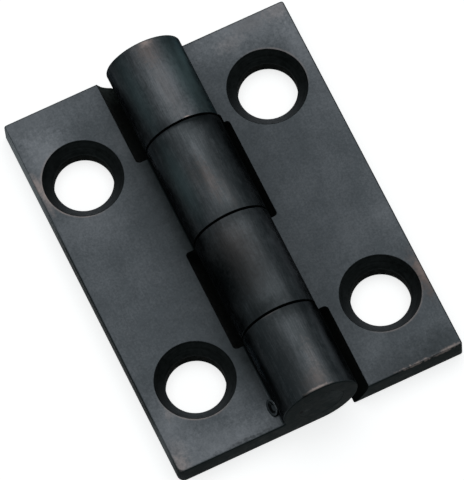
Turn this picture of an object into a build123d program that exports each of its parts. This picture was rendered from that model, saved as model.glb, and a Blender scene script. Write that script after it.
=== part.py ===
"""Solid-drawn butt hinge for a small cabinet door, lying open flat on its back.

The pin lies along Y, the leaves open along X, and the knuckles stand up in +Z. The origin is at
the middle of the hinge, on the back plane that meets the door and the frame. Sizes are in mm.

Both leaves are the same drawn and milled blank, one turned half round against the other, so
that the knuckles alternate, and each is drilled by hand, a little off the other's pattern. The
pin is gripped by the left leaf, and the right leaf turns on it.
"""
from build123d import *

import os
from math import cos, radians, sin, sqrt

os.makedirs("parts", exist_ok=True)

# Size of the open hinge
hinge_length = 25.4
open_width = 19.05

# Drawn section of a leaf
leaf_thickness = 1.65
knuckle_diameter = 5.0
root_fillet = 0.2

# Knuckles along the pin, counted from the +Y end
end_knuckle_length = 5.85
knuckle_play = 0.14

# Slots that the other leaf's knuckles swing in
end_slot_clearance = 0.8
inner_slot_clearance = 0.7
slot_corner_radius = 0.35
middle_corner_radius = 0.2

# Notch that the slot cutter leaves beside the right leaf's end knuckle
notch_from_pin = 2.78
notch_length = 0.78
notch_depth = 0.45
notch_corner_radius = 0.3

# Pin and the two fits on it
pin_diameter = 3.0
running_clearance = 0.03
pin_end_chamfer = 0.09

# Screw holes, each measured from the pin's axis and from the hinge's mid-length
screw_hole_diameter = 3.7
countersink_diameter = 5.05
countersink_angle = 82
left_upper_hole_from_pin = 6.58
left_upper_hole_from_middle = 7.38
left_lower_hole_from_pin = 6.07
left_lower_hole_from_middle = 7.63
right_upper_hole_from_pin = 6.18
right_upper_hole_from_middle = 7.88
right_lower_hole_from_pin = 6.47
right_lower_hole_from_middle = 7.5

# Edges
edge_fillet = 0.12
corner_radius = 0.18
worn_corner_radius = 0.45

# Punch mark that closes the left leaf's end knuckle on the pin
stake_from_end = 1.33
stake_from_root = 0.315
stake_above_face = 0.12
stake_tilt = 29.5
stake_width = 0.64
stake_length = 1.16
stake_rim_width = 0.11
stake_rim_height = 0.07
stake_rim_fillet = 0.045
stake_depth = 0.14
stake_floor_scale = 0.45

# Worked out from the sizes above
knuckle_radius = knuckle_diameter / 2
half_length = hinge_length / 2
leaf_reach = open_width / 2
joint_from_middle = half_length - end_knuckle_length
end_slot_radius = knuckle_radius + end_slot_clearance
inner_slot_radius = knuckle_radius + inner_slot_clearance
face_below_pin = knuckle_radius - leaf_thickness
root_from_pin = sqrt(knuckle_radius**2 - face_below_pin**2)
root = (-root_from_pin, leaf_thickness)
pin_axis = Axis((0, 0, knuckle_radius), (0, 1, 0))
end_plane = Plane.XZ.offset(half_length)
stake_plane = Plane(
    origin=(
        -(root_from_pin + stake_from_root),
        -half_length + stake_from_end,
        leaf_thickness + stake_above_face,
    ),
    x_dir=(cos(radians(stake_tilt)), 0, sin(radians(stake_tilt))),
    z_dir=(-sin(radians(stake_tilt)), 0, cos(radians(stake_tilt))),
)
stake_mouth = (stake_width / 2 - stake_rim_width, stake_length / 2 - stake_rim_width)


# Leaf blank, left hand, with its own knuckles second and fourth from the +Y end
def leaf_blank(
    bore_diameter: float,
    knuckle_end_corner_radius: float,
    slot_end_hole: tuple[float, float],
    knuckle_end_hole: tuple[float, float],
) -> Part:
    """One leaf with its knuckles, slots, pin bore and screw holes.

    Args:
        bore_diameter: Diameter of the hole that the pin passes through.
        knuckle_end_corner_radius: Radius of the outer corner beside the leaf's end knuckle.
        slot_end_hole: Hole at the slotted end, from the pin and from mid-length.
        knuckle_end_hole: Hole beside the leaf's end knuckle, from the pin and from mid-length.

    Returns:
        The leaf, reaching towards -X from the pin.
    """
    end_slot = (joint_from_middle - knuckle_play / 2, half_length + end_slot_radius)
    inner_slot = (-joint_from_middle - knuckle_play / 2, knuckle_play / 2)
    slots = (
        (*end_slot, end_slot_radius, slot_corner_radius),
        (*inner_slot, inner_slot_radius, middle_corner_radius),
    )
    holes = (
        (-slot_end_hole[0], slot_end_hole[1], leaf_thickness),
        (-knuckle_end_hole[0], -knuckle_end_hole[1], leaf_thickness),
    )
    with BuildPart() as leaf:
        with BuildSketch(Plane.XZ) as drawn_section:
            with BuildLine():
                Polyline((0, 0), (-leaf_reach, 0), (-leaf_reach, leaf_thickness), root)
                ThreePointArc(root, (knuckle_radius, knuckle_radius), (0, 0))
            make_face()
            fillet(drawn_section.vertices().sort_by_distance((root[0], 0, root[1]))[0], root_fillet)
        extrude(amount=half_length, both=True)

        knuckle_end_corner = leaf.edges().filter_by(Axis.Z).group_by(Axis.X)[0].sort_by(Axis.Y)[0]
        fillet(knuckle_end_corner, knuckle_end_corner_radius)
        slot_end_corner = leaf.edges().filter_by(Axis.Z).group_by(Axis.X)[0].sort_by(Axis.Y)[-1]
        fillet(slot_end_corner, corner_radius)
        end_outlines = leaf.faces().filter_by(Axis.Y).edges()
        fillet(end_outlines - end_outlines.filter_by(Axis.Z), edge_fillet)

        for low, high, slot_radius, high_corner_radius in slots:
            with BuildSketch(Plane.XY.offset(knuckle_radius)) as swept_by_knuckle:
                with Locations((-slot_radius / 2, (low + high) / 2)):
                    Rectangle(slot_radius, high - low)
                low_corner, high_corner = swept_by_knuckle.vertices().group_by(Axis.X)[0].sort_by(Axis.Y)
                fillet(low_corner, slot_corner_radius)
                fillet(high_corner, high_corner_radius)
            revolve(axis=pin_axis, mode=Mode.SUBTRACT)

        with BuildSketch(end_plane):
            with Locations((0, knuckle_radius)):
                Circle(bore_diameter / 2)
        extrude(amount=-hinge_length, mode=Mode.SUBTRACT)

        with Locations(*holes):
            CounterSinkHole(
                radius=screw_hole_diameter / 2,
                counter_sink_radius=countersink_diameter / 2,
                depth=leaf_thickness,
                counter_sink_angle=countersink_angle,
            )
    return leaf.part


# Rim of metal raised round the punch mark, leaning from the plate up to the knuckle
with BuildPart() as raised_rim:
    with BuildSketch(stake_plane.offset(-2 * stake_depth)):
        Ellipse(stake_width / 2, stake_length / 2)
    extrude(amount=2 * stake_depth + stake_rim_height)
    rim_top = raised_rim.faces().sort_by(Axis(stake_plane.origin, stake_plane.z_dir))[-1]
    fillet(rim_top.edges(), stake_rim_fillet)

# Hollow that the punch leaves inside the rim
with BuildPart() as punched_hollow:
    with BuildSketch(stake_plane.offset(-stake_depth)):
        Ellipse(stake_mouth[0] * stake_floor_scale, stake_mouth[1] * stake_floor_scale)
    with BuildSketch(stake_plane.offset(stake_rim_height * 1.5)):
        Ellipse(*stake_mouth)
    loft()

# Slot cutter's run-out at the root of the right leaf's end knuckle, leaving the knuckle whole
with BuildPart() as run_out:
    with BuildSketch(Plane.XY.offset(leaf_thickness - notch_depth)) as notch_outline:
        with Locations((notch_from_pin / 2, joint_from_middle + notch_length / 2)):
            Rectangle(notch_from_pin, notch_length)
        notch_corner = notch_outline.vertices().group_by(Axis.X)[-1].sort_by(Axis.Y)[-1]
        fillet(notch_corner, notch_corner_radius)
    extrude(amount=notch_depth + root_fillet * 2)
    with BuildSketch(end_plane):
        with Locations((0, knuckle_radius)):
            Circle(knuckle_radius)
    extrude(amount=-hinge_length, mode=Mode.SUBTRACT)

# Left leaf, closed on the pin by the punch mark
gripping_blank = leaf_blank(
    pin_diameter,
    worn_corner_radius,
    (left_upper_hole_from_pin, left_upper_hole_from_middle),
    (left_lower_hole_from_pin, left_lower_hole_from_middle),
)
with BuildPart() as left_leaf:
    add(gripping_blank)
    add(raised_rim.part)
    add(punched_hollow.part, mode=Mode.SUBTRACT)

# Right leaf, the same blank turned half round and bored to turn on the pin
turning_blank = leaf_blank(
    pin_diameter + 2 * running_clearance,
    corner_radius,
    (right_lower_hole_from_pin, right_lower_hole_from_middle),
    (right_upper_hole_from_pin, right_upper_hole_from_middle),
)
with BuildPart() as right_leaf:
    add(turning_blank.rotate(Axis.Z, 180))
    add(run_out.part, mode=Mode.SUBTRACT)

# Pin, flush with the end knuckles
with BuildPart() as hinge_pin:
    with BuildSketch(end_plane):
        with Locations((0, knuckle_radius)):
            Circle(pin_diameter / 2)
    extrude(amount=-hinge_length)
    chamfer(hinge_pin.edges().filter_by(GeomType.CIRCLE), pin_end_chamfer)

left_leaf.part.label = "left_leaf"
right_leaf.part.label = "right_leaf"
hinge_pin.part.label = "hinge_pin"

export_step(left_leaf.part, "parts/left_leaf.step")
export_step(right_leaf.part, "parts/right_leaf.step")
export_step(hinge_pin.part, "parts/hinge_pin.step")
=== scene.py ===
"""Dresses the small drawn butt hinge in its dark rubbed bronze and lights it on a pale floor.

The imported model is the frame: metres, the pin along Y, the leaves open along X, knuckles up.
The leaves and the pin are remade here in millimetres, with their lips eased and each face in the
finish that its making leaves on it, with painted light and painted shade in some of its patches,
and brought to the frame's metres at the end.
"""
import logging
from dataclasses import asdict, dataclass
from enum import Enum
from functools import partial, reduce
from math import atan2, cos, pi, radians, sin, sqrt, tan

import bmesh
import bpy
from mathutils import Matrix, Vector


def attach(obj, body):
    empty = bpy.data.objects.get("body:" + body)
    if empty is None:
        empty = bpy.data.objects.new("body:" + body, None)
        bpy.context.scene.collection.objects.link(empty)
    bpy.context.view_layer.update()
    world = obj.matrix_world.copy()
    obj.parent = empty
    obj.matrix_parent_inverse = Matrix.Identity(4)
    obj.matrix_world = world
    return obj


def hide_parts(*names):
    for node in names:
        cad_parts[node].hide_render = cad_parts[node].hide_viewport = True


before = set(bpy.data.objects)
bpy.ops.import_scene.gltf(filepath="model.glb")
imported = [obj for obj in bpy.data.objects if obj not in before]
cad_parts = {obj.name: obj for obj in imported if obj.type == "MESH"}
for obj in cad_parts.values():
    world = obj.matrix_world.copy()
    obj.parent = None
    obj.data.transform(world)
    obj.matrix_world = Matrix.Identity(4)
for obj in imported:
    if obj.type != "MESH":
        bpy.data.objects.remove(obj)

logging.basicConfig(level=logging.INFO, format="%(message)s")
log = logging.getLogger("hinge")

# Metres in a millimetre, the angle from which an edge is sharp, and the ends of a noise's soft step
MM = 0.001
SHARP = radians(35)
CLOUDY = (0.3, 0.7)

# Middles of each leaf's screw holes, at its slotted end and beside its end knuckle, in millimetres
LEFT_HOLES = ((-6.58, 7.38), (-6.07, -7.63))
RIGHT_HOLES = ((6.47, -7.5), (6.18, 7.88))

Colour = tuple[float, float, float]
Place = tuple[float, float, float]
Spot = tuple[float, float]
Socket = bpy.types.NodeSocket
Dressed = dict[str, bpy.types.Material]


class Bench:
    """Places and joins the nodes of one node tree."""

    def __init__(self, tree: bpy.types.NodeTree) -> None:
        """Keeps the tree that the nodes go in."""
        self.tree = tree

    def put(self, kind: str, inputs: dict | None = None, **settings: object) -> bpy.types.Node:
        """Adds a node.

        Args:
            kind: Blender's identifier of the node type.
            inputs: Input name or index, and the value or the socket that feeds it.
            settings: Properties of the node itself.

        Returns:
            The new node.
        """
        node = self.tree.nodes.new(kind)
        for name, value in settings.items():
            setattr(node, name, value)
        for name, value in (inputs or {}).items():
            self.feed(value, node.inputs[name])
        return node

    def feed(self, value: object, socket: Socket) -> None:
        """Joins a socket to another, or sets its value.

        Args:
            value: An output socket, a number or a tuple.
            socket: The input that takes it.
        """
        if isinstance(value, Socket):
            self.tree.links.new(value, socket)
        elif socket.type == "RGBA" and len(value) == 3:
            socket.default_value = (*value, 1.0)
        else:
            socket.default_value = value

    def math(self, operation: str, *terms: object, clamp: bool = False) -> Socket:
        """Output of a Math node on its terms."""
        node = self.put("ShaderNodeMath", dict(enumerate(terms)), operation=operation, use_clamp=clamp)
        return node.outputs[0]

    def total(self, *terms: object) -> Socket:
        """Sum of two or more values."""
        return reduce(partial(self.math, "ADD"), terms)

    def product(self, *terms: object) -> Socket:
        """Product of two or more values."""
        return reduce(partial(self.math, "MULTIPLY"), terms)

    def either(self, *masks: object) -> Socket:
        """Largest of two or more masks."""
        return reduce(partial(self.math, "MAXIMUM"), masks)

    def rest(self, mask: object) -> Socket:
        """What a mask leaves of 1."""
        return self.math("SUBTRACT", 1.0, mask)

    def step(self, value: object, low: object, high: object) -> Socket:
        """Smooth step of a value, from 0 at low to 1 at high."""
        inputs = {"Value": value, "From Min": low, "From Max": high}
        return self.put("ShaderNodeMapRange", inputs, interpolation_type="SMOOTHSTEP").outputs[0]

    def ramp(self, value: object, reach: tuple, ends: tuple) -> Socket:
        """Value that runs straight from one end to the other over the reach."""
        limits = dict(zip(("From Min", "From Max", "To Min", "To Max"), (*reach, *ends)))
        return self.put("ShaderNodeMapRange", {"Value": value, **limits}).outputs[0]

    def span(self, value: object, low: object, high: object) -> Socket:
        """Value from 0 to 1 spread over low to high."""
        return self.ramp(value, (0.0, 1.0), (low, high))

    def blend(self, mask: object, under: object, over: object) -> Socket:
        """Colour that goes from under to over with the mask."""
        inputs = {0: mask, 6: under, 7: over}
        return self.put("ShaderNodeMix", inputs, data_type="RGBA").outputs[2]

    def noise(self, place: object, scale: object, detail: float, roughness: float = 0.55) -> Socket:
        """Value of a cloudy noise, about 0.5 on average."""
        inputs = {"Vector": place, "Scale": scale, "Detail": detail, "Roughness": roughness}
        return self.put("ShaderNodeTexNoise", inputs).outputs[0]

    def parts(self, place: object) -> tuple[Socket, ...]:
        """The X, Y and Z of a vector."""
        return tuple(self.put("ShaderNodeSeparateXYZ", {0: place}).outputs)

    def joined(self, x: object, y: object, z: object) -> Socket:
        """Vector of three values."""
        return self.put("ShaderNodeCombineXYZ", {0: x, 1: y, 2: z}).outputs[0]

    def moved(self, operation: str, *terms: object, output: int = 0) -> Socket:
        """Output of a Vector Math node on its terms."""
        node = self.put("ShaderNodeVectorMath", dict(enumerate(terms)), operation=operation)
        return node.outputs[output]

    def flat_way(self, place: object, centre: object) -> Socket:
        """Vector from the centre to the place, with no height."""
        return self.moved("MULTIPLY", self.moved("SUBTRACT", place, centre), (1, 1, 0))


def hang(name: str, data: bpy.types.ID) -> bpy.types.Object:
    """Puts a mesh, lamp or camera in the scene.

    Args:
        name: Name of the new object.
        data: What it shows.

    Returns:
        The object, at the origin.
    """
    thing = bpy.data.objects.new(name, data)
    bpy.context.scene.collection.objects.link(thing)
    return thing


def settle(piece: bpy.types.Object) -> None:
    """Gives a piece the plain mesh that its modifiers make of it, and takes them off.

    Args:
        piece: The object.
    """
    depsgraph = bpy.context.evaluated_depsgraph_get()
    mesh = bpy.data.meshes.new_from_object(piece.evaluated_get(depsgraph))
    piece.modifiers.clear()
    piece.data = mesh


class Group:
    """A node group with named inputs and outputs, built once and placed where it is needed."""

    title = "Group"
    family = "ShaderNodeTree"
    node_kind = "ShaderNodeGroup"
    takes: dict[str, tuple[str, object]] = {}
    gives: dict[str, str] = {}

    def __init__(self) -> None:
        """Makes the group's sockets and then its nodes."""
        self.tree = bpy.data.node_groups.new(self.title, self.family)
        for name, (kind, value) in self.takes.items():
            socket = self.tree.interface.new_socket(name, in_out="INPUT", socket_type=f"NodeSocket{kind}")
            if value is not None:
                socket.default_value = value
        for name, kind in self.gives.items():
            self.tree.interface.new_socket(name, in_out="OUTPUT", socket_type=f"NodeSocket{kind}")
        self.bench = Bench(self.tree)
        self.inside = self.tree.nodes.new("NodeGroupInput").outputs
        self.out = self.tree.nodes.new("NodeGroupOutput").inputs
        self.build()

    def build(self) -> None:
        """Makes the nodes; each group has its own."""

    def place(self, bench: Bench, **values: object) -> bpy.types.NodeOutputs:
        """Puts the group in another tree.

        Args:
            bench: The other tree's bench.
            values: Input names, with underscores for spaces, and what feeds them.

        Returns:
            The group node's outputs.
        """
        node = bench.put(self.node_kind, node_tree=self.tree)
        for name, value in values.items():
            bench.feed(value, node.inputs[name.replace("_", " ")])
        return node.outputs


class ShapeGroup(Group):
    """A Geometry Nodes group, in millimetres."""

    family = "GeometryNodeTree"
    node_kind = "GeometryNodeGroup"

    def turned(self, mesh: object, move: object, turn: object) -> Socket:
        """Geometry turned and then moved."""
        inputs = {"Geometry": mesh, "Translation": move, "Rotation": turn}
        return self.bench.put("GeometryNodeTransform", inputs).outputs[0]

    def cut(self, body: object, tool: object) -> Socket:
        """Body with the tool's shape cut out of it."""
        inputs, exact = {"Mesh 1": body, "Mesh 2": tool}, {"operation": "DIFFERENCE", "solver": "EXACT"}
        return self.bench.put("GeometryNodeMeshBoolean", inputs, **exact).outputs[0]

    def fused(self, *solids: object) -> Socket:
        """Fuses solids.

        Args:
            solids: The solids.

        Returns:
            The one solid that they make.
        """
        node = self.bench.put("GeometryNodeMeshBoolean", operation="UNION", solver="EXACT")
        for solid in solids:
            self.bench.feed(solid, node.inputs["Mesh 2"])
        return node.outputs[0]

    def finish(self, mesh: object, material: object, only: object = True) -> Socket:
        """Geometry with the finish on the chosen faces."""
        inputs = {"Geometry": mesh, "Selection": only, "Material": material}
        return self.bench.put("GeometryNodeSetMaterial", inputs).outputs[0]

    def shape(self, piece: bpy.types.Object, *records: object, **values: object) -> None:
        """Runs the tree on a piece and keeps the plain mesh that it gives.

        Args:
            piece: The object whose mesh goes in and comes out.
            records: Dataclass records, whose fields feed the inputs of the same name.
            values: Input names, with underscores for spaces, and their values.
        """
        named = reduce(lambda known, record: known | asdict(record), records, {}) | values
        wanted = {name.replace("_", " ").title(): value for name, value in named.items()}
        modifier = piece.modifiers.new(self.title, "NODES")
        modifier.node_group = self.tree
        for item in self.tree.interface.items_tree:
            if item.item_type == "SOCKET" and item.in_out == "INPUT" and item.name in wanted:
                modifier[item.identifier] = wanted[item.name]
        settle(piece)


def floats(*names: str) -> dict[str, tuple[str, object]]:
    """Inputs of a group that take a number."""
    return {name: ("Float", 0.0) for name in names}


class TurnedDrum(ShapeGroup):
    """A round bar along Z with its two rims rounded, or with a different radius at each end."""

    title = "Turned drum"
    takes = {
        **floats("Low", "High", "Low Rim", "High Rim"),
        "Low Radius": ("Float", 1.0),
        "High Radius": ("Float", 1.0),
        "Rim Steps": ("Int", 0),
        "Sides": ("Int", 96),
        "Finish": ("Material", None),
    }
    gives = {"Drum": "Geometry"}

    def build(self) -> None:
        """Spaces rings along a line by the rule of a rounded rim and skins them."""
        b, given = self.bench, self.inside
        steps = given["Rim Steps"]
        rings = b.math("MULTIPLY_ADD", steps, 2.0, 2.0)
        line = b.put("GeometryNodeMeshLine", {"Count": rings, "Offset": (0.0, 0.0, 1.0)})
        index = b.put("GeometryNodeInputIndex").outputs[0]
        mirrored = b.math("SUBTRACT", b.math("SUBTRACT", rings, 1.0), index)
        nearest = b.math("MINIMUM", index, mirrored)
        past = b.math("GREATER_THAN", index, mirrored)
        rim = b.span(past, given["Low Rim"], given["High Rim"])
        angle = b.product(b.math("DIVIDE", nearest, steps), pi / 2)
        inward = b.product(rim, b.rest(b.math("COSINE", angle)))
        low = b.math("ADD", given["Low"], inward)
        high = b.math("SUBTRACT", given["High"], inward)
        along = b.span(past, low, high)
        eased = b.product(rim, b.rest(b.math("SINE", angle)))
        radius = b.math("SUBTRACT", b.span(past, given["Low Radius"], given["High Radius"]), eased)
        spots = {"Geometry": line.outputs[0], "Position": b.joined(0.0, 0.0, along)}
        set_out = b.put("GeometryNodeSetPosition", spots)
        axis = b.put("GeometryNodeMeshToCurve", {"Mesh": set_out.outputs[0]})
        ring = b.put("GeometryNodeCurvePrimitiveCircle", {"Resolution": given["Sides"], "Radius": 1.0})
        skin = b.put("GeometryNodeCurveToMesh", {
            "Curve": axis.outputs[0],
            "Profile Curve": ring.outputs[0],
            "Scale": radius,
            "Fill Caps": True,
        })
        b.feed(self.finish(skin.outputs[0], given["Finish"]), self.out["Drum"])


class DrumWork(ShapeGroup):
    """A group that works with turned drums, on the pin's axis or across it."""

    spare = 1.0
    sides = 96

    def __init__(self, drum: TurnedDrum) -> None:
        """Keeps the turned drum that every bar and cutter is made from."""
        self.drum = drum
        super().__init__()

    def bar(self, low: object, high: object, radius: object, finish: object, **more: object) -> Socket:
        """A drum of one radius along Z, with any more of its inputs by name."""
        inputs = {"Low_Radius": radius, "High_Radius": radius, "Sides": self.sides, **more}
        return self.drum.place(self.bench, Low=low, High=high, Finish=finish, **inputs)[0]

    def lying(self, drum: object) -> Socket:
        """A drum laid along the pin's axis, one knuckle radius up."""
        height = self.bench.joined(0.0, 0.0, self.inside["Knuckle Radius"])
        return self.turned(drum, height, (-pi / 2, 0.0, 0.0))

    def plain(self, mesh: object) -> Socket:
        """Geometry with its instances made real."""
        return self.bench.put("GeometryNodeRealizeInstances", {"Geometry": mesh}).outputs[0]


class MilledLeaf(DrumWork):
    """A leaf's stock with its slots milled, its pin hole bored and its screw holes drilled and sunk."""

    title = "Milled leaf"
    takes = {
        "Stock": ("Geometry", None),
        **floats(
            "Leaf Reach", "Half Length", "Leaf Thickness", "Knuckle Radius", "Bore Radius",
            "End Slot Start", "End Slot Radius", "Inner Slot Start", "Inner Slot Length",
            "Inner Slot Radius", "Slot Corner", "Middle Corner", "Notch Start", "Notch Reach",
            "Notch Length", "Notch Depth", "Notch Corner", "Screw Hole Radius",
            "Countersink Radius", "Countersink Depth",
        ),
        "Notched": ("Bool", False),
        "First Hole": ("Vector", (0.0, 0.0, 0.0)),
        "Last Hole": ("Vector", (0.0, 0.0, 0.0)),
        "Milled Finish": ("Material", None),
        "Sunk Finish": ("Material", None),
        "Sawn Finish": ("Material", None),
    }
    gives = {"Leaf": "Geometry"}
    slot_sides = 144
    knuckle_sides = 192
    corner_steps = 8
    notch_corner_steps = 6
    notch_spare = 0.5
    sink_past = 0.5
    sawn_depth = 0.11
    sawn_facing = 0.7
    welded = 0.002

    def slotted(self, body: object) -> Socket:
        """Mills the two slots that the other leaf's knuckles swing in.

        Args:
            body: The stock.

        Returns:
            The stock with its slots.
        """
        b, given = self.bench, self.inside
        milled = {
            "finish": given["Milled Finish"],
            "Sides": self.slot_sides,
            "Low_Rim": given["Slot Corner"],
            "Rim_Steps": self.corner_steps,
        }
        wide, start = given["End Slot Radius"], given["Inner Slot Start"]
        past = b.math("ADD", given["Half Length"], wide)
        last = b.math("ADD", start, given["Inner Slot Length"])
        end = self.bar(given["End Slot Start"], past, wide, **milled)
        inner = self.bar(start, last, given["Inner Slot Radius"],
                         High_Rim=given["Middle Corner"], **milled)
        return self.cut(self.cut(body, self.lying(end)), self.lying(inner))

    def through(self, radius: object, sides: int) -> Socket:
        """A round cutter on the pin's axis, past both ends of the leaf.

        Args:
            radius: Its radius.
            sides: How many faces go round it.

        Returns:
            The cutter.
        """
        b, given = self.bench, self.inside
        past = b.math("ADD", given["Half Length"], self.spare)
        cutter = self.bar(b.product(past, -1.0), past, radius, given["Milled Finish"], Sides=sides)
        return self.lying(cutter)

    def notched(self, body: object) -> Socket:
        """Cuts the slot cutter's run-out beside the end knuckle, and leaves the knuckle whole.

        Args:
            body: The slotted stock.

        Returns:
            The stock with its notch.
        """
        b, given = self.bench, self.inside
        reach, top, spare = given["Notch Reach"], given["Leaf Thickness"], self.notch_spare
        length = b.math("ADD", given["Notch Length"], spare)
        outline = b.put("GeometryNodeCurvePrimitiveQuadrilateral", {"Width": reach, "Height": length})
        corners = {
            "Curve": outline.outputs[0],
            "Radius": given["Notch Corner"],
            "Count": self.notch_corner_steps,
        }
        rounded = b.put("GeometryNodeFilletCurve", corners, mode="POLY")
        upright = b.put("GeometryNodeCurvePrimitiveLine", {
            "Start": b.joined(0.0, 0.0, b.math("SUBTRACT", top, given["Notch Depth"])),
            "End": b.joined(0.0, 0.0, b.math("ADD", top, spare)),
        })
        block = b.put("GeometryNodeCurveToMesh", {
            "Curve": upright.outputs[0],
            "Profile Curve": rounded.outputs[0],
            "Fill Caps": True,
        })
        shift = b.product(b.math("SUBTRACT", spare, given["Notch Length"]), 0.5)
        spot = b.joined(b.product(reach, -0.5), b.math("ADD", given["Notch Start"], shift), 0.0)
        tool = self.finish(self.turned(block.outputs[0], spot, (0.0, 0.0, 0.0)), given["Milled Finish"])
        knuckle = self.through(given["Knuckle Radius"], self.knuckle_sides)
        return self.cut(body, self.cut(tool, knuckle))

    def drilled(self, body: object) -> Socket:
        """Drills the screw holes through and sinks them for the heads.

        Args:
            body: The leaf.

        Returns:
            The leaf with its holes.
        """
        b, given = self.bench, self.inside
        top, depth = given["Leaf Thickness"], given["Countersink Depth"]
        radius, wide = given["Screw Hole Radius"], given["Countersink Radius"]
        ends = {"Count": 2, "Start Location": given["First Hole"], "Offset": given["Last Hole"]}
        holes = b.put("GeometryNodeMeshLine", ends, mode="END_POINTS").outputs[0]
        drill = self.bar(-self.spare, b.math("ADD", top, self.spare), radius, given["Milled Finish"])
        wider = b.product(b.math("SUBTRACT", wide, radius), self.sink_past)
        sink = self.bar(b.math("SUBTRACT", top, b.product(depth, 1 + self.sink_past)),
                        b.math("ADD", top, b.product(depth, self.sink_past)), radius,
                        given["Sunk Finish"], Low_Radius=b.math("SUBTRACT", radius, wider),
                        High_Radius=b.math("ADD", wide, wider))
        for tool in (drill, sink):
            copies = b.put("GeometryNodeInstanceOnPoints", {"Points": holes, "Instance": tool})
            body = self.cut(body, self.plain(copies.outputs[0]))
        return body

    def sawn(self) -> Socket:
        """Finds the faces where the stock was cut off.

        Returns:
            True on those faces.
        """
        b, given = self.bench, self.inside
        places = b.parts(b.moved("ABSOLUTE", b.put("GeometryNodeInputPosition").outputs[0]))
        ways = b.parts(b.moved("ABSOLUTE", b.put("GeometryNodeInputNormal").outputs[0]))
        cuts = []
        for place, way, limit in zip(places, ways, (given["Leaf Reach"], given["Half Length"])):
            outermost = b.math("GREATER_THAN", place, b.math("SUBTRACT", limit, self.sawn_depth))
            cuts.append(b.product(outermost, b.math("GREATER_THAN", way, self.sawn_facing)))
        return b.either(*cuts)

    def build(self) -> None:
        """Cuts slots, bore and holes in turn, then finishes the sawn faces."""
        b, given = self.bench, self.inside
        slotted = self.slotted(given["Stock"])
        choice = {"Switch": given["Notched"], "False": slotted, "True": self.notched(slotted)}
        notched = b.put("GeometryNodeSwitch", choice, input_type="GEOMETRY").outputs[0]
        worked = self.drilled(self.cut(notched, self.through(given["Bore Radius"], self.sides)))
        clean = b.put("GeometryNodeMergeByDistance", {"Geometry": worked, "Distance": self.welded})
        leaf = self.finish(self.plain(clean.outputs[0]), given["Sawn Finish"], self.sawn())
        b.feed(leaf, self.out["Leaf"])


class PunchedLeaf(DrumWork):
    """A leaf with one oval punch mark: a hollow, and the metal raised round it."""

    title = "Punched leaf"
    takes = {
        "Leaf": ("Geometry", None),
        "Centre": ("Vector", (0.0, 0.0, 0.0)),
        **floats("Lean", "Half Width", "Half Length", "Rim Width", "Rim Height", "Rim Ease", "Depth",
                 "Floor Share"),
        "Finish": ("Material", None),
    }
    gives = {"Leaf": "Geometry"}
    sides = 64
    rim_steps = 4
    foot_depths = 2.0
    mouth_rims = 1.5

    def oval(self, drum: object, across: object, along: object) -> Socket:
        """Presses a drum to an oval at the mark's centre.

        Args:
            drum: The drum, of radius 1.
            across: Half the oval's width.
            along: Half its length.

        Returns:
            The oval drum, leaning with the mark.
        """
        b = self.bench
        inputs = {
            "Geometry": drum,
            "Translation": self.inside["Centre"],
            "Rotation": b.joined(0.0, b.product(self.inside["Lean"], -1.0), 0.0),
            "Scale": b.joined(across, along, 1.0),
        }
        return b.put("GeometryNodeTransform", inputs).outputs[0]

    def build(self) -> None:
        """Raises the rim and sinks the hollow."""
        b, given = self.bench, self.inside
        floor, finish = b.product(given["Depth"], -1.0), given["Finish"]
        wide, long, rim = given["Half Width"], given["Half Length"], given["Rim Width"]
        boss = self.bar(b.product(floor, self.foot_depths), given["Rim Height"], 1.0, finish,
                        High_Rim=given["Rim Ease"], Rim_Steps=self.rim_steps)
        raised = self.fused(given["Leaf"], self.oval(boss, wide, long))
        hollow = self.bar(floor, b.product(given["Rim Height"], self.mouth_rims), 1.0, finish,
                          Low_Radius=given["Floor Share"])
        mouth = self.oval(hollow, b.math("SUBTRACT", wide, rim), b.math("SUBTRACT", long, rim))
        b.feed(self.plain(self.cut(raised, mouth)), self.out["Leaf"])


class TurnedPin(DrumWork):
    """The hinge pin, a drum laid along Y with its two ends chamfered."""

    title = "Turned pin"
    takes = {
        **floats("Half Length", "Pin Radius", "Pin End Step", "Knuckle Radius"),
        "Finish": ("Material", None),
    }
    gives = {"Pin": "Geometry"}

    def build(self) -> None:
        """Turns the bar and lays it on the pin's axis."""
        b, given = self.bench, self.inside
        end, step, finish = given["Half Length"], given["Pin End Step"], given["Finish"]
        bar = self.bar(b.product(end, -1.0), end, given["Pin Radius"], finish, Low_Rim=step,
                       High_Rim=step, Rim_Steps=1)
        b.feed(self.finish(self.plain(self.lying(bar)), finish), self.out["Pin"])


class CloudyPatina(Group):
    """Soft clouds and fine mottle that a brushed-on oil patina dries to."""

    title = "Cloudy patina"
    takes = {
        "Position": ("Vector", None),
        "Cloud Size": ("Float", 2.2),
        "Mottle Size": ("Float", 0.45),
        "Speck Size": ("Float", 0.13),
    }
    gives = {"Cloud": "Float", "Mottle": "Float", "Speck": "Float"}
    speckled = (0.25, 0.75)

    def build(self) -> None:
        """Three noises of falling size, each in millimetres."""
        b, place = self.bench, self.inside["Position"]
        cloud = b.noise(place, b.math("DIVIDE", 1.0, self.inside["Cloud Size"]), 3.0)
        mottle = b.noise(place, b.math("DIVIDE", 1.0, self.inside["Mottle Size"]), 3.0, 0.6)
        speck = b.noise(place, b.math("DIVIDE", 1.0, self.inside["Speck Size"]), 2.0)
        b.feed(b.step(cloud, *CLOUDY), self.out["Cloud"])
        b.feed(b.step(mottle, *CLOUDY), self.out["Mottle"])
        b.feed(b.step(speck, *self.speckled), self.out["Speck"])


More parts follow.
